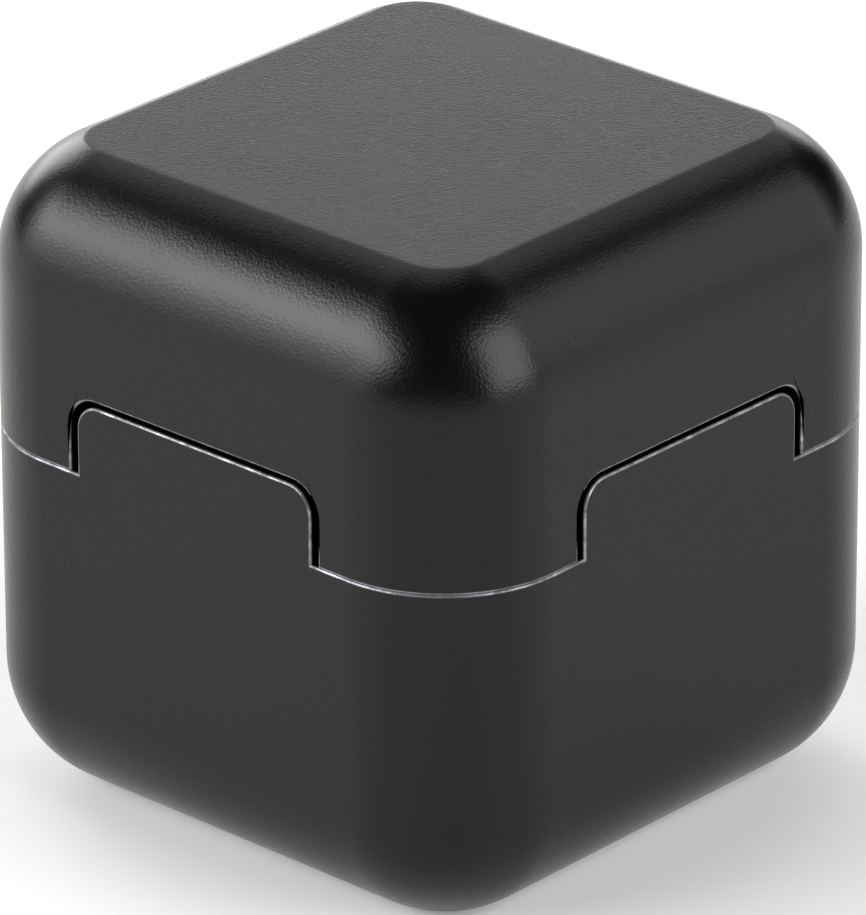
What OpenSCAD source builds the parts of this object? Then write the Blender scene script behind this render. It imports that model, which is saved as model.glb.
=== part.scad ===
// Air-cushioned fidget cube: two metal halves that meet in a square-toothed seam.
// A ground piston on the lower half guides a honed cylinder in the upper half, and
// the air between them slows the halves as they close.
// +Z up, origin at the middle of the base, a flat face towards -Y.

/* [Cube] */
// Width and depth over the flat faces
side = 36; // [34:0.5:45]
// Height with the halves closed
height = 36; // [35:0.5:45]
// Radius of every outer edge and corner
edge_r = 7.3; // [6.5:0.1:8]
// Metal faced off the rounded body at top and base, which leaves a crisp edge there
face_off = 0.5; // [0.1:0.1:1]

/* [Seam] */
// Height of the four corner shoulders above the base
shoulder_z = 20.15; // [16:0.05:22]
// How far each tab stands above the shoulders
tab_h = 4.1; // [3:0.1:5]
// Width of each tab
tab_w = 16.4; // [13:0.1:20]
// Radius of a tab's two top corners
tab_corner_r = 1.5; // [0.5:0.1:2.5]
// Gap on each side between a tab and its notch
side_gap = 0.5; // [0.3:0.05:0.8]
// Gap above a tab when the legs stand on the shoulders
top_gap = 0.3; // [0.2:0.05:0.5]

/* [Cylinder and piston] */
// Bore of the cylinder
bore_d = 19; // [16:0.1:23]
// Wall of the cylinder
cylinder_wall = 2; // [1.5:0.1:2.2]
// Thickness of the cylinder's closed end
cylinder_end_t = 3; // [2.4:0.1:4]
// Running gap on radius between piston and bore
piston_gap = 0.025; // [0.01:0.005:0.05]
// Gap on radius between the cylinder and the pocket round it
pocket_gap = 1.1; // [0.9:0.1:1.5]
// How far the pocket is turned past the notches' ceiling
relief_h = 0.3; // [0.2:0.1:0.6]
// Gap under the open end of the cylinder when closed
end_gap = 0.4; // [0.3:0.05:1]
// Height of the air space over the piston when closed
air_gap = 0.8; // [0.5:0.1:2]
// Metal under the lower pocket
floor_t = 8; // [7:0.1:9]
// Metal above the cylinder's seat
roof_t = 7; // [6.6:0.1:8]
// Depth of the register that the piston's foot sits in
register_h = 0.8; // [0.5:0.1:1]
// Gap on radius between a seated piece and its seat
seat_gap = 0.02; // [0.01:0.01:0.05]
// Bevel on the piston's top edge and inside the cylinder's mouth
lead_in = 0.5; // [0.2:0.1:0.8]
// Number of oil grooves round the piston
groove_count = 4; // [2:1:5]
// Distance from one oil groove to the next
groove_pitch = 3.2; // [2.5:0.1:3.4]
// Width of an oil groove
groove_w = 0.6; // [0.4:0.1:1]
// Depth of an oil groove
groove_depth = 0.35; // [0.2:0.05:0.6]

/* [Screws] */
// Thread diameter of the two socket-head screws
screw_d = 4; // [3:1:4]
// Diameter of a screw's head
head_d = 7; // [6:0.1:7.4]
// Height of a screw's head
head_h = 4; // [3:0.1:4.2]
// Hexagon socket in a screw's head, across its flats
socket_af = 3; // [2.5:0.5:3]
// Depth of the hexagon socket
socket_h = 2; // [1.5:0.1:2.2]
// Length of thread that grips in a shell
grip = 5; // [4:0.1:5.2]
// Length of the piston's screw under its head
piston_screw_l = 12; // [10:1:13]
// Gap on radius round a screw's thread
thread_gap = 0.05; // [0.02:0.01:0.1]
// Gap on radius round a screw's shank and head where they pass through
screw_gap = 0.3; // [0.2:0.05:0.4]
// Room left beyond a screw's tip
tip_room = 0.5; // [0.3:0.1:0.6]

/* [Hidden] */
$fn = 96;

OVER = 1; // how far a cutting solid runs past what it cuts
half = side / 2;
corner_c = half - edge_r; // from the middle to an upright corner's axis
straight = 2 * corner_c; // length of a face between its upright corners
full_h = height + 2 * face_off; // height of the rounded body before its ends are faced off

tab_top_z = shoulder_z + tab_h;
notch_z = tab_top_z + top_gap;
notch_w = tab_w + 2 * side_gap;

bore_r = bore_d / 2;
cylinder_r = bore_r + cylinder_wall;
pocket_r = cylinder_r + pocket_gap;
piston_r = bore_r - piston_gap;

foot_z = floor_t - register_h; // underside of the piston
seat_z = height - roof_t; // top of the cylinder
cylinder_z = floor_t + end_gap; // mouth of the cylinder, which lifts off the piston at piston_z
cylinder_l = seat_z - cylinder_z;
bore_l = cylinder_l - cylinder_end_t;
piston_z = cylinder_z + bore_l - air_gap; // top of the piston
piston_l = piston_z - foot_z;
first_groove = piston_l - groove_pitch; // height of the top groove above the foot

screw_r = screw_d / 2;
shank_hole_r = screw_r + screw_gap;
head_hole_r = head_d / 2 + screw_gap;
piston_seat = piston_screw_l - grip; // from the foot to the screw's head
cylinder_screw_l = cylinder_end_t + grip;

// What lies outside a round of radius r on a corner at the origin, with the body towards -X and -Y
module outside_corner(r) {
    translate([-r, -r]) difference() {
        square(r + OVER);
        circle(r);
    }
}

// Section of the cube from its middle out to a face at x = w, rounded and then faced off at both ends
module half_section(w) {
    intersection() {
        square([w, height]);
        translate([0, -face_off]) difference() {
            square([w, full_h]);
            translate([w, full_h]) outside_corner(edge_r);
            translate([w, 0]) mirror([0, 1]) outside_corner(edge_r);
        }
    }
}

// The whole cube, closed and solid: two crossing straight bars and four turned corner posts
module cube_body() {
    for (turn = [0, 90]) rotate(turn) rotate([90, 0, 0]) linear_extrude(straight, center = true) {
        half_section(half);
        mirror([1, 0]) half_section(half);
    }
    for (x = [-corner_c, corner_c], y = [-corner_c, corner_c])
        translate([x, y, 0]) rotate_extrude() half_section(edge_r);
}

// Two crossing bars of width w up to height z_top, with their top corners rounded by r
module tooth_cross(w, z_top, r) {
    for (turn = [0, 90]) rotate(turn) rotate([90, 0, 0]) linear_extrude(side + 2 * OVER, center = true)
        difference() {
            translate([-w / 2, 0]) square([w, z_top]);
            for (flip = [0, 1]) mirror([flip, 0]) translate([w / 2, z_top]) outside_corner(r);
        }
}

// Socket-head screw standing on its thread's tip, with a plain shank for the thread
module socket_screw(length) {
    difference() {
        union() {
            cylinder(r = screw_r, h = length);
            translate([0, 0, length]) cylinder(d = head_d, h = head_h);
        }
        translate([0, 0, length + head_h - socket_h])
            cylinder(d = socket_af / cos(30), h = socket_h + OVER, $fn = 6);
    }
}

// Lower half: four mid-face tabs, four corner shoulders and the pocket for cylinder and piston
module lower_shell() {
    color("#1b1b1c") difference() {
        intersection() {
            cube_body();
            union() {
                translate([-half, -half, 0]) cube([side, side, shoulder_z]);
                tooth_cross(tab_w, tab_top_z, tab_corner_r);
            }
        }
        translate([0, 0, floor_t]) cylinder(r = pocket_r, h = tab_top_z);
        translate([0, 0, foot_z]) cylinder(r = piston_r + seat_gap, h = register_h + OVER);
        translate([0, 0, foot_z - grip - tip_room])
            cylinder(r = screw_r + thread_gap, h = grip + tip_room + OVER);
    }
}

// Ground piston, bored for its screw and grooved for oil
module piston() {
    color("#b9bcc0") translate([0, 0, foot_z]) rotate_extrude() difference() {
        square([piston_r, piston_l]);
        translate([0, -OVER]) square([shank_hole_r, piston_l + 2 * OVER]);
        translate([0, piston_seat]) square([head_hole_r, piston_l]);
        for (i = [0:groove_count - 1]) translate([piston_r - groove_depth, first_groove - i * groove_pitch])
            square([groove_depth + OVER, groove_w]);
        translate([piston_r, piston_l]) rotate(45) square(lead_in * sqrt(2), center = true);
    }
}

// Screw that holds the piston down in the lower shell
module piston_screw() {
    color("#8d9095") translate([0, 0, foot_z - grip]) socket_screw(piston_screw_l);
}

// Upper half: four corner legs, the notches between them, the pocket and the cylinder's seat
module upper_shell() {
    color("#1b1b1c") difference() {
        cube_body();
        translate([-half - OVER, -half - OVER, -OVER])
            cube([side + 2 * OVER, side + 2 * OVER, shoulder_z + OVER]);
        tooth_cross(notch_w, notch_z, tab_corner_r + top_gap);
        translate([0, 0, shoulder_z - OVER])
            cylinder(r = pocket_r, h = notch_z + relief_h - shoulder_z + OVER);
        translate([0, 0, notch_z]) cylinder(r = cylinder_r + seat_gap, h = seat_z - notch_z);
        translate([0, 0, seat_z - OVER])
            cylinder(r = screw_r + thread_gap, h = OVER + grip + tip_room);
    }
}

// Honed cylinder, closed at the top and open at the bottom
module cylinder_sleeve() {
    color("#a9acb0") translate([0, 0, cylinder_z]) rotate_extrude() difference() {
        square([cylinder_r, cylinder_l]);
        translate([0, -OVER]) square([bore_r, bore_l + OVER]);
        square([shank_hole_r, cylinder_l + OVER]);
        translate([bore_r, 0]) rotate(45) square(lead_in * sqrt(2), center = true);
    }
}

// Screw that holds the cylinder up in the upper shell, its head inside the bore
module cylinder_screw() {
    color("#8d9095") translate([0, 0, seat_z + grip]) mirror([0, 0, 1]) socket_screw(cylinder_screw_l);
}

lower_shell();
piston();
piston_screw();
upper_shell();
cylinder_sleeve();  // cylinder
cylinder_screw();
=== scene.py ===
# %% [markdown]
# # An air-cushioned fidget cube
# Two halves of black anodised aluminium meet in a square-toothed seam. Inside, a ground
# steel piston stands on the lower half, and the upper half carries the cylinder that
# glides on it. This lesson builds every piece as a surface worked out with numpy, around a
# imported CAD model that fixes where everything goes.

# %% Load the frame
import math

import bpy
import numpy as np
from mathutils import Matrix, Vector


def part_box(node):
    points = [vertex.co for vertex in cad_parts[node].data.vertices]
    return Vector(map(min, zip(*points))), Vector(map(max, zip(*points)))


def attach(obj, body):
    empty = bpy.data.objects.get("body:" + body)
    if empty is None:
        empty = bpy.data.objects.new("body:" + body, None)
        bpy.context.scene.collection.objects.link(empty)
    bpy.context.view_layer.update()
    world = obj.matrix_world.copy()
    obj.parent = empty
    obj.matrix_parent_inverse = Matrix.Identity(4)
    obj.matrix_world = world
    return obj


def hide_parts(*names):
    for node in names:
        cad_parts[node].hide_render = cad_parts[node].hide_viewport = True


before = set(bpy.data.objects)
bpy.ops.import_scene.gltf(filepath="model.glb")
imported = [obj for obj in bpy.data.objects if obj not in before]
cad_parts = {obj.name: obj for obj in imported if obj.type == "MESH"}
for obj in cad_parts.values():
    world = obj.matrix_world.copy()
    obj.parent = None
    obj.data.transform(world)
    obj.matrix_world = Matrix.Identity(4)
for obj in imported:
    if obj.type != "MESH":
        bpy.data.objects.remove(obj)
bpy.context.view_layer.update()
scene = bpy.context.scene
MM = 0.001
print("pieces in the frame:", sorted(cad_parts))

# %% [markdown]
# ## The sizes that the pieces share
# The CAD model is the design, so heights and diameters are read from its pieces' boxes.
# Only the sizes that a box can't show are repeated here: the rounds, the widths of the
# teeth and a few radii inside.

# %% Shared sizes
lower_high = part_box("lower_shell")[1]
upper_low, upper_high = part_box("upper_shell")
piston_low, piston_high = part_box("piston")
cylinder_low, cylinder_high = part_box("cylinder")

HALF = lower_high.x
HEIGHT = upper_high.z
SHOULDER_Z = upper_low.z
TAB_Z = lower_high.z
PISTON_R = piston_high.x
CYLINDER_R = cylinder_high.x
FOOT_Z = piston_low.z
SEAT_Z = cylinder_high.z

CORNER_R = 7.3 * MM
FACE_OFF = 0.5 * MM
CREASE_R = 0.6 * MM
TAB_HALF = 8.2 * MM
TAB_CORNER_R = 1.5 * MM
SIDE_GAP = 0.5 * MM
TOP_GAP = 0.3 * MM
POCKET_GAP = 1.1 * MM
RELIEF_H = 0.3 * MM
FLOOR_Z = FOOT_Z + 0.8 * MM
SEAT_GAP = 0.02 * MM
SCREW_HOLE_R = 2.05 * MM
SCREW_HOLE_L = 5.5 * MM

POCKET_R = CYLINDER_R + POCKET_GAP
CORNER_C = HALF - CORNER_R
QUARTER = 2 * CORNER_C + CORNER_R * math.pi / 2
print(f"cube {2 * HALF / MM:.2f} mm wide and {HEIGHT / MM:.2f} mm high")

# %% [markdown]
# ## From a grid of points to a mesh
# Each surface here is a grid: every row is a closed ring of points, and the rings follow
# one another from one pole to the other. Faces join each ring to the next, and a single
# point closes each end, so the mesh has no holes and no seam.

# %% Grid to mesh
def ring_mesh(name, rings, start=None, end=None, edge=None, sharp=32.0):
    """Faces between rings of equal length, closed at both ends by fans to single points.

    rings has the shape (rows, columns, 3). With no end points the last ring joins the
    first, as on a pierced piece. The sign of the enclosed volume tells whether the faces
    look outwards, and they are turned round if they don't. edge is a value per ring point.
    """
    rings = np.asarray(rings, float)
    rows, columns, _ = rings.shape
    pierced = start is None
    tips = np.zeros((0, 3)) if pierced else np.array([start, end], float)
    points = np.concatenate([rings.reshape(-1, 3), tips])
    a = np.arange(columns)
    b = np.roll(a, -1)
    low = np.arange(rows if pierced else rows - 1)[:, None] * columns
    high = (low + columns) % (rows * columns)
    faces = np.stack([low + a, low + b, high + b, high + a], axis=-1).reshape(-1, 4)
    p = points[faces]
    volume = np.einsum("ij,ij->", p[:, 0], np.cross(p[:, 1], p[:, 2]) + np.cross(p[:, 2], p[:, 3]))
    fans = []
    if not pierced:
        top = (rows - 1) * columns
        fans = np.concatenate([
            np.stack([np.full(columns, top + columns), b, a], axis=-1),
            np.stack([np.full(columns, top + columns + 1), top + a, top + b], axis=-1),
        ])
        q = points[fans]
        volume += np.einsum("ij,ij->", q[:, 0], np.cross(q[:, 1], q[:, 2]))
    turn = slice(None, None, 1 if volume > 0 else -1)
    faces = [f[turn] for f in faces.tolist()] + [f[turn] for f in np.asarray(fans, int).tolist()]
    mesh = bpy.data.meshes.new(name)
    mesh.from_pydata(points.tolist(), [], faces)
    mesh.polygons.foreach_set("use_smooth", np.ones(len(mesh.polygons), bool))
    mesh.set_sharp_from_angle(angle=math.radians(sharp))
    if edge is not None:
        values = np.concatenate([np.ravel(edge), np.zeros(len(tips))])
        mesh.attributes.new("edge", "FLOAT", "POINT").data.foreach_set("value", values.astype(np.float32))
    mesh.update()
    piece = bpy.data.objects.new(name, mesh)
    scene.collection.objects.link(piece)
    size = abs(volume) / 6 / MM**3
    print(f"{name}: {len(mesh.vertices)} points, {len(mesh.polygons)} faces, {size:.0f} mm3")
    return piece


# %% [markdown]
# ## Walking round the cube
# Seen from above the cube is a square with round corners. A place on its skin is a distance
# along one side from the middle of a face, and a height. Past the flat part the distance
# bends round the corner's arc.

# %% Position and outward direction along one side
def side_point(u):
    """Where u lies on the rounded square, and the outward direction there.

    The side faces -Y. Up to CORNER_C from the middle it is straight; beyond that u is an
    arc length round the corner, so the angle turned is (|u| - CORNER_C) / CORNER_R.
    """
    straight = np.clip(u, -CORNER_C, CORNER_C)
    turn = (u - straight) / CORNER_R
    out = np.stack([np.sin(turn), -np.cos(turn)], axis=-1)
    centre = np.stack([straight, np.full_like(u, -CORNER_C)], axis=-1)
    return centre + CORNER_R * out, out


def four_sides(x, y, z):
    """One side's row of points, turned three more quarter turns to close the ring."""
    turns = [(x, y), (-y, x), (-x, -y), (y, -x)]
    return np.concatenate([np.stack([px, py, z], axis=-1)[:-1] for px, py in turns])


# %% [markdown]
# ## The seam
# The seam climbs from a corner shoulder up the side of a tab, over its rounded top and
# down again. The same outline, a little wider and higher, is the notch that the tab sits
# in. Each point carries the direction out across the seam, and at the two inner corners
# that direction is a mitre, so that the outline can be moved sideways evenly.

# %% The seam's outline along one side
def spread(start, stop, count):
    """Evenly spaced values from start up to, but not including, stop."""
    return start + (stop - start) * np.arange(count) / count


def seam_outline(half_w, z_low, z_high, corner_r):
    """u, height and outward direction (across the seam) of the left half, then mirrored.

    Pieces in order: the corner's arc, the straight shoulder, the upright side, the
    quarter round and half of the level top.
    """
    arc_u = spread(-QUARTER / 2, -CORNER_C, 16)
    flat_u = np.concatenate([[-CORNER_C, -CORNER_C + 0.2 * MM], spread(-CORNER_C + 0.7 * MM, -half_w, 2)])
    up_z = spread(z_low, z_high - corner_r, 5)
    turn = spread(math.pi, math.pi / 2, 8)
    top_u = np.append(spread(-half_w + corner_r, 0.0, 5), 0.0)
    low_u = np.concatenate([arc_u, flat_u])
    u = np.concatenate([
        low_u,
        np.full(up_z.size, -half_w),
        -half_w + corner_r + corner_r * np.cos(turn),
        top_u,
    ])
    z = np.concatenate([
        np.full(low_u.size, z_low),
        up_z,
        z_high - corner_r + corner_r * np.sin(turn),
        np.full(top_u.size, z_high),
    ])
    across = np.concatenate([
        np.tile([0.0, 1.0], (low_u.size, 1)),
        [[-1.0, 1.0]],
        np.tile([-1.0, 0.0], (up_z.size - 1, 1)),
        np.stack([np.cos(turn), np.sin(turn)], axis=-1),
        np.tile([0.0, 1.0], (top_u.size, 1)),
    ])
    u = np.concatenate([u, -u[-2::-1]])
    z = np.concatenate([z, z[-2::-1]])
    flipped = across[-2::-1] * [-1.0, 1.0]
    return u, z, np.concatenate([across, flipped])


def evened(u, half_w):
    """Where each column starts on the far round: columns of the tooth are spaced evenly.

    On an upright side many points share one u. Down at the base they spread out over the
    tooth's width, in order, which keeps every face open.
    """
    tooth = np.abs(u) <= half_w + 1e-9
    even = u.copy()
    even[tooth] = np.linspace(-half_w, half_w, tooth.sum())
    return even, tooth


outline = seam_outline(TAB_HALF, SHOULDER_Z, TAB_Z, TAB_CORNER_R)
print("points along one side of the seam:", outline[0].size)

# %% [markdown]
# ## One half of the shell
# A half is turned inside out as one continuous surface: the middle of its flat end, the
# round edge, the flat sides, the seam, the inner wall, the pocket, and last the screw hole.
# Real machined edges are never knife sharp, so a small round runs along the seam: its
# centre sits one radius in from both faces, and the ring swings from one to the other.

# %% Skin, seam and pocket of one half
EDGE_R = 0.15 * MM
SIDE_STEPS = (0.015, 0.2, 0.4, 0.6, 0.8, 0.95, 0.993)  # shares of the way from the round to the seam
WEAR_AND_HIGHLIGHT = np.array([0.0, 0.7, 1.0, 0.7, 0.0])  # bright seam edge, strongest mid-round: bare metal where dye has come off, and a painted highlight


def skin(u, z, depth=0.0):
    """Points at u and height z, pushed depth into the metal along the outward direction."""
    place, out = side_point(u)
    place = place - depth * out
    return four_sides(place[:, 0], place[:, 1], z)


def end_rings(u, z_end, up):
    """The flat end, its crease and the round to the sides, from the middle outwards.

    The round has radius R = CORNER_R and would end f = FACE_OFF past the flat, so the two
    meet in a crease. A small arc of radius r = CREASE_R softens it: its centre is R - r from
    the round's centre and r under the flat, which puts it h = sqrt((R - r)^2 - (R - f - r)^2)
    outwards, and it meets the round at the angle arccos(h / (R - r)).
    """
    rise = CORNER_R - FACE_OFF
    h = math.sqrt((CORNER_R - CREASE_R) ** 2 - (rise - CREASE_R) ** 2)
    meet = math.degrees(math.acos(h / (CORNER_R - CREASE_R)))
    arcs = [(h, rise - CREASE_R, CREASE_R, a) for a in np.linspace(90, meet, 6)]
    arcs += [(0.0, 0.0, CORNER_R, a) for a in np.linspace(meet, 0, 22)[1:]]
    rounded = []
    for out, over, r, a in arcs:
        inside = CORNER_R - out - r * math.cos(math.radians(a))
        height = z_end - up * (rise - over - r * math.sin(math.radians(a)))
        rounded.append(skin(u, np.full_like(u, height), inside))
    shrink = np.array([0.3, 0.7, 0.97])[:, None, None]
    return list(rounded[0] * [1, 1, 0] * shrink + rounded[0] * [0, 0, 1]) + rounded


def pocket_ring(outline, half_w, side, shift, radius):
    """The seam's inner edge on a circle about the axis.

    On a tooth a point keeps its distance u from the face's middle, so its angle is
    arcsin(u / radius). On the shoulders the angle runs evenly on to the corner at 45 degrees.
    """
    u, z, across = outline
    x = u - side * shift * across[:, 0]
    tooth = np.abs(u) <= half_w + 1e-9
    angle = np.arcsin(np.where(tooth, x, 0.0) / radius)
    first = angle[tooth].max()
    beyond = (np.abs(u) - half_w) / (QUARTER / 2 - half_w)
    angle = np.where(tooth, angle, np.sign(u) * (first + (math.pi / 4 - first) * beyond))
    return angle, z - side * shift * across[:, 1]


def on_circle(angle, z, radius):
    """Points at an angle from -Y on a circle about the axis, repeated on all four sides."""
    return four_sides(radius * np.sin(angle), -radius * np.cos(angle), z)


def half_shell(name, outline, half_w, side, end_z, pocket_end, inside):
    """All rings of one half: side is +1 where the metal lies below the seam, and -1 above.

    inside lists the turned steps past the pocket as (radius, height) pairs.
    """
    u, z, across = outline
    even, tooth = evened(u, half_w)
    rings = end_rings(even, end_z, -side)
    start_z = end_z + side * (CORNER_R - FACE_OFF)
    skin_u, skin_z = u - side * EDGE_R * across[:, 0], z - side * EDGE_R * across[:, 1]
    for t in SIDE_STEPS:
        rings.append(skin(even + t * (skin_u - even), start_z + t * (skin_z - start_z)))
    bright_edge_from = len(rings)
    for turn in np.radians(np.linspace(0, 90, 5)):
        shift, depth = EDGE_R * (1 - math.sin(turn)), EDGE_R * (1 - math.cos(turn))
        rings.append(skin(u - side * shift * across[:, 0], z - side * shift * across[:, 1], depth))
    bright_edge_to = len(rings)
    for turn in np.radians(np.linspace(90, 0, 5)):
        shift, depth = EDGE_R * (1 - math.sin(turn)), EDGE_R * (1 - math.cos(turn))
        angle, height = pocket_ring(outline, half_w, side, shift, POCKET_R + depth)
        rings.append(on_circle(angle, height, POCKET_R + depth))
    even_angle = np.linspace(-math.pi / 4, math.pi / 4, u.size)
    for t in (0.25, 0.5, 0.75, 1.0):
        turned, sunk = angle + t * (even_angle - angle), height + t * (pocket_end - height)
        rings.append(on_circle(turned, sunk, POCKET_R))
    rings += [on_circle(even_angle, np.full_like(u, h), r) for r, h in inside]
    # The seam's small round gets the bright-edge mask: bare metal where dye has come off, and a painted
    # highlight along the seam.
    wear_and_highlight = np.zeros((len(rings), rings[0].shape[0]))
    wear_and_highlight[bright_edge_from:bright_edge_to] = WEAR_AND_HIGHLIGHT[:, None]
    middle = [0.0, 0.0, end_z]
    bottom = [0.0, 0.0, inside[-1][1]]
    return ring_mesh(name, rings, middle, bottom, edge=wear_and_highlight)


lower_half = half_shell(
    "shell_lower", outline, TAB_HALF, 1, 0.0, FLOOR_Z,
    [
        (PISTON_R + SEAT_GAP, FLOOR_Z),
        (PISTON_R + SEAT_GAP, FOOT_Z),
        (SCREW_HOLE_R, FOOT_Z),
        (SCREW_HOLE_R, FOOT_Z - SCREW_HOLE_L),
    ],
)
notch_z = TAB_Z + TOP_GAP
notch_half = TAB_HALF + SIDE_GAP
notch = seam_outline(notch_half, SHOULDER_Z, notch_z, TAB_CORNER_R + TOP_GAP)
ceiling_z = notch_z + RELIEF_H
upper_half = half_shell(
    "shell_upper", notch, notch_half, -1, HEIGHT, ceiling_z,
    [
        (CYLINDER_R + SEAT_GAP, ceiling_z),
        (CYLINDER_R + SEAT_GAP, SEAT_Z),
        (SCREW_HOLE_R, SEAT_Z),
        (SCREW_HOLE_R, SEAT_Z + SCREW_HOLE_L),
    ],
)

# %% [markdown]
# ## Turned parts
# Piston, cylinder and screws come off a lathe, so each is one outline carried round the
# axis. A corner of the outline is rounded by an arc that touches both its lines.

# %% Outlines for turned parts
def softened(corners, radii, steps=4):
    """An outline through (radius, height) corners, each rounded by its own small radius.

    At a corner the arc starts a tangent length r / tan(half the angle) before it, and its
    points are blended along the two tangents like a quadratic curve.
    """
    corners = np.asarray(corners, float)
    points = []
    for i, r in enumerate(radii):
        here, before, after = corners[i], corners[i - 1], corners[(i + 1) % len(corners)]
        if r == 0:
            points.append(here[None])
            continue
        a = (before - here) / np.linalg.norm(before - here)
        b = (after - here) / np.linalg.norm(after - here)
        reach = r / math.tan(math.acos(np.clip(a @ b, -1, 1)) / 2)
        t = np.linspace(0, 1, steps + 1)[:, None]
        points.append(here + reach * ((1 - t) ** 2 * a + t**2 * b))
    return np.concatenate(points)


def turned_rings(outline, columns):
    """Every outline point carried round the axis: (r cos theta, r sin theta, z)."""
    theta = np.arange(columns) * 2 * math.pi / columns
    r, z = outline[:, 0, None], outline[:, 1, None]
    return np.stack([r * np.cos(theta), r * np.sin(theta), z + 0 * theta], axis=-1)

# %% [markdown]
# ## Piston
# The piston is ground all over its side to run in the cylinder with a few hundredths of a
# millimetre to spare. Four shallow grooves hold oil and even out the pressure round it, a
# bevel at the top leads it into the bore, and the screw that holds it sits in a deep recess.

# %% Piston
GROOVE_COUNT = 4
GROOVE_PITCH = 3.2 * MM
GROOVE_W = 0.6 * MM
GROOVE_DEPTH = 0.35 * MM
LEAD_IN = 0.5 * MM
SHANK_HOLE_R = 2.3 * MM
HEAD_HOLE_R = 3.8 * MM
FINE_EDGE = 0.06 * MM
GRIP = 5.0 * MM

screw_low, screw_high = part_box("piston_screw")
piston_seat_z = screw_low.z + 12.0 * MM
groove_z = piston_high.z - GROOVE_PITCH - np.arange(GROOVE_COUNT)[::-1] * GROOVE_PITCH
grooves = np.stack([
    np.stack([np.full(GROOVE_COUNT, PISTON_R), groove_z], axis=-1),
    np.stack([np.full(GROOVE_COUNT, PISTON_R - GROOVE_DEPTH), groove_z], axis=-1),
    np.stack([np.full(GROOVE_COUNT, PISTON_R - GROOVE_DEPTH), groove_z + GROOVE_W], axis=-1),
    np.stack([np.full(GROOVE_COUNT, PISTON_R), groove_z + GROOVE_W], axis=-1),
], axis=1).reshape(-1, 2)
corners = np.concatenate([
    [[SHANK_HOLE_R, FOOT_Z], [PISTON_R, FOOT_Z]],
    grooves,
    [
        [PISTON_R, piston_high.z - LEAD_IN],
        [PISTON_R - LEAD_IN, piston_high.z],
        [HEAD_HOLE_R, piston_high.z],
        [HEAD_HOLE_R, piston_seat_z],
        [SHANK_HOLE_R, piston_seat_z],
    ],
])
radii = [0, FINE_EDGE] + [FINE_EDGE] * len(grooves) + [FINE_EDGE, FINE_EDGE, 2 * FINE_EDGE, 0, FINE_EDGE]
piston = ring_mesh("piston_ground", turned_rings(softened(corners, radii), 192))

# %% [markdown]
# ## Cylinder
# A cup with a honed bore, screwed up into the upper half with its mouth downwards.

# %% Cylinder
BORE_R = CYLINDER_R - 2.0 * MM
END_T = 3.0 * MM
corners = [
    [BORE_R + LEAD_IN, cylinder_low.z],
    [CYLINDER_R, cylinder_low.z],
    [CYLINDER_R, SEAT_Z],
    [SHANK_HOLE_R, SEAT_Z],
    [SHANK_HOLE_R, SEAT_Z - END_T],
    [BORE_R, SEAT_Z - END_T],
    [BORE_R, cylinder_low.z + LEAD_IN],
]
radii = [FINE_EDGE, 4 * FINE_EDGE, FINE_EDGE, 0, FINE_EDGE, 0, FINE_EDGE]
cylinder = ring_mesh("cylinder_honed", turned_rings(softened(corners, radii), 192))

# %% [markdown]
# ## Socket-head screws
# The thread is a ridge wound round the shank: at each angle the ridge stands one pitch's
# share higher, so radius = crest - depth * |2 * fraction(height / pitch - turns) - 1|. The
# head's grip is a row of small scallops, and its socket is a hexagon: at an angle from the
# middle of a flat the wall stands at flat / cos(angle).

# %% Screws
THREAD_PITCH = 0.7 * MM
THREAD_DEPTH = 0.38 * MM
SCREW_R = 2.0 * MM
HEAD_R = 3.5 * MM
HEAD_H = 4.0 * MM
SOCKET_FLAT = 1.5 * MM
SOCKET_H = 2.0 * MM
SCALLOPS = 36
SCREW_COLUMNS = 144


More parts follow.
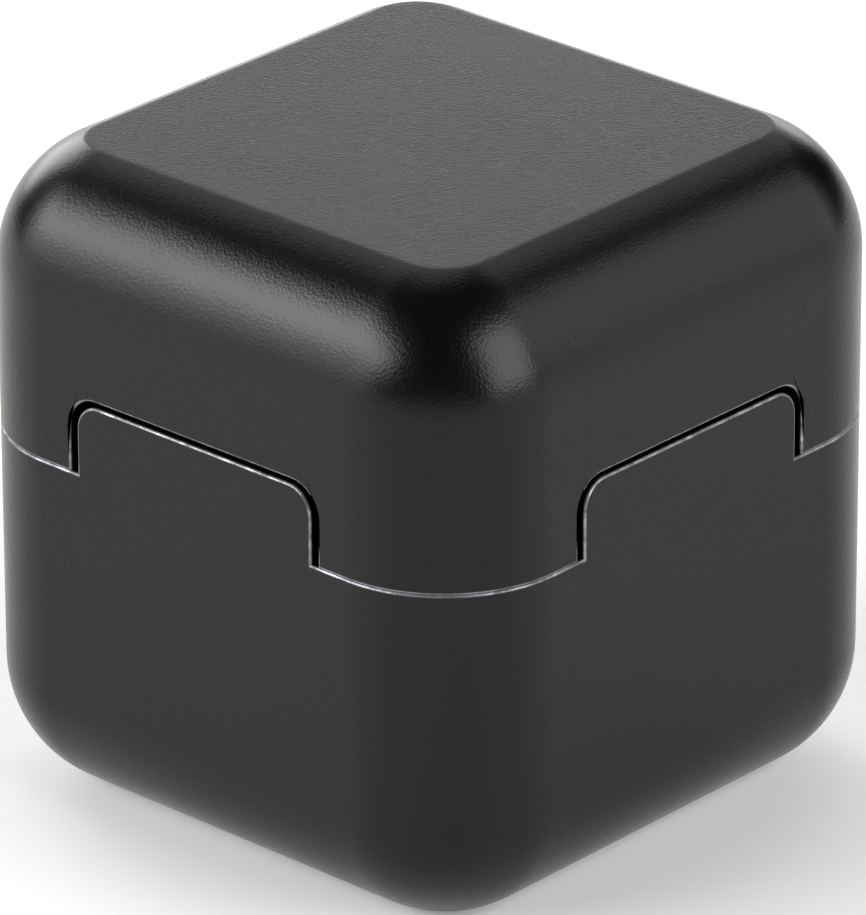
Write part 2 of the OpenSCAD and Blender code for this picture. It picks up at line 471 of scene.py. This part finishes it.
def socket_screw(name, tip_z, length, up):
    """A screw from its tip, up its thread and shank, over the head and down the socket."""
    theta = np.arange(SCREW_COLUMNS) * 2 * math.pi / SCREW_COLUMNS
    thread_h = np.linspace(0.3 * MM, GRIP, 64)[:, None]
    fade = np.clip((GRIP - thread_h) / (0.5 * MM), 0, 1) * np.clip(thread_h / (0.8 * MM), 0.4, 1)
    ridge = np.abs(2 * ((thread_h / THREAD_PITCH - theta / (2 * math.pi)) % 1) - 1)
    thread_r = SCREW_R * np.clip(0.8 + thread_h / (3 * MM), 0, 1) - THREAD_DEPTH * ridge * fade

    plain = np.array([
        [SCREW_R, GRIP + 0.2 * MM],
        [SCREW_R, length - 0.15 * MM],
        [SCREW_R + 0.04 * MM, length - 0.04 * MM],
        [SCREW_R + 0.15 * MM, length],
        [HEAD_R - 0.1 * MM, length],
        [HEAD_R, length + 0.1 * MM],
    ])
    side = np.array([[HEAD_R, length + 0.3 * MM], [HEAD_R, length + 0.8 * HEAD_H]])
    crown = softened(
        [[0, 0], [HEAD_R, length + 0.85 * HEAD_H], [HEAD_R, length + HEAD_H], [2.1 * MM, length + HEAD_H]],
        [0, 0, 0.35 * MM, 0],
    )[1:]
    scallop = 0.07 * MM * np.abs(np.sin(theta * SCALLOPS / 2))
    hexagon = SOCKET_FLAT / np.cos(theta % (math.pi / 3) - math.pi / 6)
    top = length + HEAD_H

    def rings(rows):
        r, z = rows[:, 0, None], rows[:, 1, None]
        return np.stack([r + 0 * theta, z + 0 * theta], axis=-1)

    grid = np.concatenate([
        np.stack([thread_r, thread_h + 0 * theta], axis=-1),
        rings(plain),
        np.stack([side[:, 0, None] - scallop, side[:, 1, None] + 0 * theta], axis=-1),
        rings(crown),
        np.stack([hexagon + 0.12 * MM, np.full_like(theta, top)], axis=-1)[None],
        np.stack([hexagon, np.full_like(theta, top - 0.12 * MM)], axis=-1)[None],
        np.stack([hexagon, np.full_like(theta, top - SOCKET_H)], axis=-1)[None],
        np.stack([hexagon * 0.5, np.full_like(theta, top - SOCKET_H)], axis=-1)[None],
    ])
    r, h = grid[..., 0], grid[..., 1]
    points = np.stack([r * np.cos(theta), r * np.sin(theta), tip_z + up * h], axis=-1)
    return ring_mesh(name, points, [0, 0, tip_z], [0, 0, tip_z + up * (top - SOCKET_H)])


piston_screw = socket_screw("screw_of_piston", screw_low.z, screw_high.z - screw_low.z - HEAD_H, 1)
top_screw_low, top_screw_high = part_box("cylinder_screw")
cylinder_screw = socket_screw(
    "screw_of_cylinder", top_screw_high.z, top_screw_high.z - top_screw_low.z - HEAD_H, -1
)

# %% [markdown]
# ## Who moves with whom
# Each new piece stands for its CAD node and rides on that node's body.

# %% Ride and replace
for piece, node, body, slot in [
    (lower_half, "lower_shell", "lower_half", "black_anodised"),
    (piston, "piston", "lower_half", "ground_steel"),
    (piston_screw, "piston_screw", "lower_half", "screw_steel"),
    (upper_half, "upper_shell", "upper_half", "black_anodised"),
    (cylinder, "cylinder", "upper_half", "ground_steel"),
    (cylinder_screw, "cylinder_screw", "upper_half", "screw_steel"),
]:
    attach(piece, body)
    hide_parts(node)
print("six pieces stand in for the frame's six nodes")

# %% [markdown]
# ## Small helpers for materials
# Colours are written as sRGB hex, as a paint chart gives them, and one function turns them
# into the linear values that shaders mix. One more function adds any node with its settings
# and its links.

# %% Colour and node helpers
def linear(hex_colour):
    """sRGB hex to linear RGBA."""
    c = np.array([int(hex_colour[i:i + 2], 16) for i in (1, 3, 5)]) / 255
    return (*np.where(c <= 0.04045, c / 12.92, ((c + 0.055) / 1.055) ** 2.4).tolist(), 1.0)


def new_material(name):
    """An empty material with only its output node."""
    material = bpy.data.materials.new(name)
    material.use_nodes = True
    material.node_tree.nodes.clear()
    return material


def add(material, kind, settings=None, **inputs):
    """A node with its settings. Each input is a value, or another node's output socket."""
    tree = material.node_tree
    node = tree.nodes.new(kind)
    for key, value in (settings or {}).items():
        setattr(node, key, value)
    for key, value in inputs.items():
        socket = node.inputs[int(key[1:])] if key[0] == "_" else node.inputs[key.replace("_", " ")]
        if isinstance(value, bpy.types.NodeSocket):
            tree.links.new(value, socket)
        else:
            socket.default_value = value
    return node


# %% [markdown]
# ## Black anodised aluminium, bead blasted
# Blasting with fine glass beads leaves the metal dimpled about a tenth of a millimetre
# apart. Anodising then grows a thin hard layer of aluminium oxide over it, and a black dye
# fills the layer's pores. So almost no light comes back from inside: what the eye sees is
# the layer's own satin reflection, broken into grain by the dimples. The shader's specular
# level is below its usual value. It was chosen to keep the metal dark enough. The
# likely reason, which wasn't tested, is that the dimples trap some of the light.
#
# The real dimples are too fine to show from here, so they are drawn almost twice as coarse
# as they are. Along the seam's small round a bright bare-aluminium colour is mixed in, in
# dashes: partly wear where the dye has come off, and partly a painted highlight that draws
# the bright line along the seam.

# %% Black anodised aluminium
CRATER = 0.17 * MM
GRIT = 0.08 * MM
DIMPLE_DEPTH = 0.0145 * MM
CLOUD = 7 * MM
PATCH = 0.9 * MM
anodised = new_material("anodised_aluminium_bead_blasted_black")
place = add(anodised, "ShaderNodeTexCoord").outputs["Object"]
craters = add(anodised, "ShaderNodeTexVoronoi", Vector=place, Scale=1 / CRATER, Randomness=1.0)
grit = add(anodised, "ShaderNodeTexNoise", Vector=place, Scale=1 / GRIT, Detail=2.0, Roughness=0.6)
relief = add(
    anodised, "ShaderNodeMix", {"data_type": "FLOAT"},
    _0=0.5, _2=craters.outputs["Distance"], _3=grit.outputs["Fac"],
)
bump = add(anodised, "ShaderNodeBump", Strength=1.0, Distance=DIMPLE_DEPTH, Height=relief.outputs[0])

clouds = add(anodised, "ShaderNodeTexNoise", Vector=place, Scale=1 / CLOUD, Detail=4.0, Roughness=0.6)
satin = add(anodised, "ShaderNodeMapRange", _0=clouds.outputs["Fac"], _1=0.3, _2=0.7, _3=0.18, _4=0.24)
gloss = add(
    anodised, "ShaderNodeMath", {"operation": "MULTIPLY_ADD"},
    _0=grit.outputs["Fac"], _1=0.08, _2=satin.outputs[0],
)

# Edge mask times patchy noise mixes in bright bare metal in dashes: partly wear, partly a painted
# highlight along the seam.
edge = add(anodised, "ShaderNodeAttribute", {"attribute_name": "edge"})
patches = add(anodised, "ShaderNodeTexNoise", Vector=place, Scale=1 / PATCH, Detail=4.0, Roughness=0.65)
patchy_wear_and_highlight = add(anodised, "ShaderNodeMapRange", _0=patches.outputs["Fac"], _1=0.4, _2=0.66, _3=0.3, _4=1.0)
wear_and_highlight = add(
    anodised, "ShaderNodeMath", {"operation": "MULTIPLY"}, _0=edge.outputs["Fac"], _1=patchy_wear_and_highlight.outputs[0],
)
base_with_bright_edge = add(
    anodised, "ShaderNodeMix", {"data_type": "RGBA"},
    _0=wear_and_highlight.outputs[0], _6=linear("#070708"), _7=linear("#b4b6ba"),
)
bare = add(anodised, "ShaderNodeMath", {"operation": "MULTIPLY"}, _0=wear_and_highlight.outputs[0], _1=0.85)
shader = add(
    anodised, "ShaderNodeBsdfPrincipled",
    Base_Color=base_with_bright_edge.outputs[2], Metallic=bare.outputs[0], Roughness=gloss.outputs[0], IOR=1.5,
    Specular_IOR_Level=0.28, Normal=bump.outputs[0],
)
add(anodised, "ShaderNodeOutputMaterial", Surface=shader.outputs[0])
for piece in (lower_half, upper_half):
    piece.data.materials.append(anodised)
print("bead craters:", CRATER / MM, "mm across")

# %% [markdown]
# ## Ground steel
# A grinding wheel leaves fine lines that run round the piece. They are the same all the way
# round, so the pattern depends on height and on distance from the axis alone. Real grinding
# lines lie a few hundredths of a millimetre apart, too fine to show from here, so they are
# drawn about three times as coarse. A screw's head is pressed and turned, which is rougher.

# %% Ground steel
LINE = 0.11 * MM
FILM = 6 * MM


def turned_steel(name, colour, rough, line, depth):
    """Bare steel with lines round the axis, line apart and depth deep.

    The lines depend on radius and height alone. They stretch a highlight across
    themselves, which the shader's anisotropy gives, turned a quarter from the radial tangent.
    """
    steel = new_material(name)
    spot = add(steel, "ShaderNodeTexCoord").outputs["Object"]
    split = add(steel, "ShaderNodeSeparateXYZ", _0=spot)
    flat = add(steel, "ShaderNodeCombineXYZ", X=split.outputs[0], Y=split.outputs[1])
    radius = add(steel, "ShaderNodeVectorMath", {"operation": "LENGTH"}, _0=flat.outputs[0])
    run = add(steel, "ShaderNodeCombineXYZ", X=radius.outputs["Value"], Y=split.outputs[2])
    lines = add(
        steel, "ShaderNodeTexNoise", {"noise_dimensions": "2D"},
        Vector=run.outputs[0], Scale=1 / line, Detail=3.0, Roughness=0.6,
    )
    scratches = add(steel, "ShaderNodeBump", Strength=1.0, Distance=depth, Height=lines.outputs["Fac"])
    film = add(steel, "ShaderNodeTexNoise", Vector=spot, Scale=1 / FILM, Detail=4.0, Roughness=0.6)
    oily = add(
        steel, "ShaderNodeMapRange",
        _0=film.outputs["Fac"], _1=0.3, _2=0.7, _3=rough * 0.94, _4=rough * 1.06,
    )
    dull = add(
        steel, "ShaderNodeMath", {"operation": "MULTIPLY_ADD"},
        _0=lines.outputs["Fac"], _1=0.1, _2=oily.outputs[0],
    )
    tone = add(
        steel, "ShaderNodeMix", {"data_type": "RGBA"},
        _0=lines.outputs["Fac"], _6=linear(colour), _7=linear("#8e8c8a"),
    )
    tangent = add(steel, "ShaderNodeTangent", {"direction_type": "RADIAL", "axis": "Z"})
    bare = add(
        steel, "ShaderNodeBsdfPrincipled",
        Base_Color=tone.outputs[2], Metallic=1.0, Roughness=dull.outputs[0], Normal=scratches.outputs[0],
        Anisotropic=0.6, Anisotropic_Rotation=0.25, Tangent=tangent.outputs[0],
    )
    add(steel, "ShaderNodeOutputMaterial", Surface=bare.outputs[0])
    return steel


ground = turned_steel("stainless_steel_ground", "#b9babc", 0.2, LINE, 0.003 * MM)
turned_dull = turned_steel("stainless_steel_cold_headed", "#8f9193", 0.3, 2 * LINE, 0.003 * MM)
for piece in (piston, cylinder):
    piece.data.materials.append(ground)
for piece in (piston_screw, cylinder_screw):
    piece.data.materials.append(turned_dull)
print("grinding lines:", LINE / MM, "mm apart")

# %% [markdown]
# ## Floor, light and camera
# Black satin metal has hardly any colour of its own, so it shows what stands round it. Two
# groups of softboxes, on the left and on the right, draw the broad highlights along the
# upper rounds. White walls behind the cube are mirrored in the flat top, and one more panel
# hangs overhead. The side behind the camera stays dark, which gives the near corner its
# deep black bands. The white surround is seen by the camera only and lights nothing.

# %% Floor
floor_mesh = bpy.data.meshes.new("floor")
FLOOR = 0.5
corners = [(-FLOOR, -FLOOR, 0), (FLOOR, -FLOOR, 0), (FLOOR, FLOOR, 0), (-FLOOR, FLOOR, 0)]
floor_mesh.from_pydata(corners, [], [(0, 1, 2, 3)])
floor = bpy.data.objects.new("floor", floor_mesh)
scene.collection.objects.link(floor)
paper = new_material("studio_paper_white")
matt = add(
    paper, "ShaderNodeBsdfPrincipled", Base_Color=linear("#ededed"), Roughness=0.9, Specular_IOR_Level=0.2,
    Emission_Color=linear("#ffffff"), Emission_Strength=0.16,
)
add(paper, "ShaderNodeOutputMaterial", Surface=matt.outputs[0])
floor_mesh.materials.append(paper)

# %% Lights
AIM = np.array([0.0, 0.0, HEIGHT / 2])
STAND = 0.8  # metres from the cube to a light


def direction(azimuth, elevation):
    """Unit vector towards an azimuth, counted from -Y towards +X, and an elevation, in degrees."""
    a, e = math.radians(azimuth), math.radians(elevation)
    return np.array([math.sin(a) * math.cos(e), -math.cos(a) * math.cos(e), math.sin(e)])


def looking_at_cube(obj, azimuth, elevation, distance, roll=0.0):
    """Places an object so that its own -Z axis points at the middle of the cube."""
    back = direction(azimuth, elevation)
    right = np.cross([0.0, 0.0, 1.0], back)
    right /= np.linalg.norm(right)
    up = np.cross(back, right)
    c, s = math.cos(math.radians(roll)), math.sin(math.radians(roll))
    place = AIM + distance * back
    columns = np.stack([c * right + s * up, c * up - s * right, back, place], axis=1)
    obj.matrix_world = Matrix([*columns.tolist(), [0, 0, 0, 1]])


def softbox(name, azimuth, elevation, distance, width, height, radiance):
    """A rectangular light with the given radiance, whatever its size."""
    light = bpy.data.lights.new(name, "AREA")
    light.shape = "RECTANGLE"
    light.size, light.size_y = width, height
    light.energy = radiance * math.pi * width * height
    lamp = bpy.data.objects.new(name, light)
    scene.collection.objects.link(lamp)
    looking_at_cube(lamp, azimuth, elevation, distance)
    print(f"{name}: {light.energy:.2f} W")


softbox("softbox_left", -42, 22, STAND, 0.76, 0.60, 3.0)
softbox("softbox_left_core", -32, 27, 0.78, 0.80, 0.29, 5.2)
softbox("softbox_right", 99, 25, STAND, 0.56, 0.66, 5.0)
softbox("softbox_right_far", 141, 22, STAND, 0.36, 0.66, 1.7)
softbox("wall_left", 252, 18, STAND, 0.34, 0.48, 5.0)
softbox("wall_low", 218, 9, STAND, 0.62, 0.25, 2.6)
softbox("wall_middle", 218, 27, STAND, 0.70, 0.25, 0.7)
softbox("wall_high", 222, 50, STAND, 1.10, 0.40, 1.0)
softbox("overhead", 232, 70, STAND, 0.40, 0.30, 1.2)

world = bpy.data.worlds.new("studio")
scene.world = world
world.use_nodes = True
world.node_tree.nodes["Background"].inputs["Color"].default_value = (1, 1, 1, 1)
world.cycles_visibility.diffuse = False
world.cycles_visibility.glossy = False
scene.view_settings.view_transform = "Standard"

# %% Camera
CAMERA_AZIMUTH = 42.404
CAMERA_ELEVATION = 24.782
CAMERA_ROLL = -0.168
CAMERA_DISTANCE = 496.62 * MM
CAMERA_SHIFT = Vector((0.11 * MM, -0.5 * MM, 0))
LENS = 373.46
camera_data = bpy.data.cameras.new("camera")
camera_data.lens = LENS
camera_data.sensor_width = 36.0
camera_data.clip_start = 0.01
camera = bpy.data.objects.new("camera", camera_data)
scene.collection.objects.link(camera)
looking_at_cube(camera, CAMERA_AZIMUTH, CAMERA_ELEVATION, CAMERA_DISTANCE, CAMERA_ROLL)
camera.location += camera.matrix_world.to_3x3() @ CAMERA_SHIFT
scene.camera = camera
print("camera at", [round(c / MM, 1) for c in camera.location], "mm")
